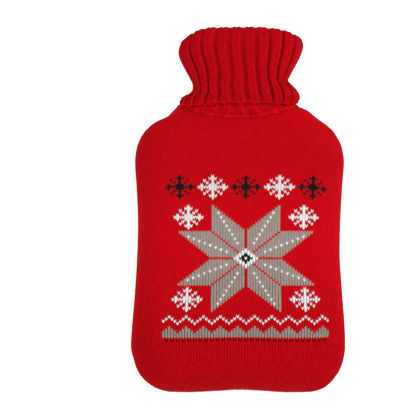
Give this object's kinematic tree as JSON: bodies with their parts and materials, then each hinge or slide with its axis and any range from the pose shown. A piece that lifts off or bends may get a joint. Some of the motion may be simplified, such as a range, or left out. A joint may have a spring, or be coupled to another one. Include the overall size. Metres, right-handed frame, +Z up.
{
  "type": "hot water bottle cover",
  "caption": "Knitted slip-on cover for a hot water bottle: two rounded panels sewn at the edges, with a ribbed collar folded down around the neck.",
  "frame": {"origin": "centre of the bounding box, at the level of the flat back that the cover lies on", "axes": "+Y along the cover from its bottom edge to the collar's mouth, +X to the right as seen from the front, +Z up out of the front face"},
  "size_m": [0.1997, 0.3418, 0.0578],
  "materials": {
    "front_knit": "matte stockinette knit, with a charted band pattern in taupe, white and black on red",
    "back_knit": "matte plain red stockinette knit",
    "rib_knit": "matte red knit with broad two-stitch ribs"
  },
  "bodies": {
    "root": {"front_panel": "front_knit", "back_panel": "back_knit", "collar": "rib_knit"}
  },
  "joints": []
}
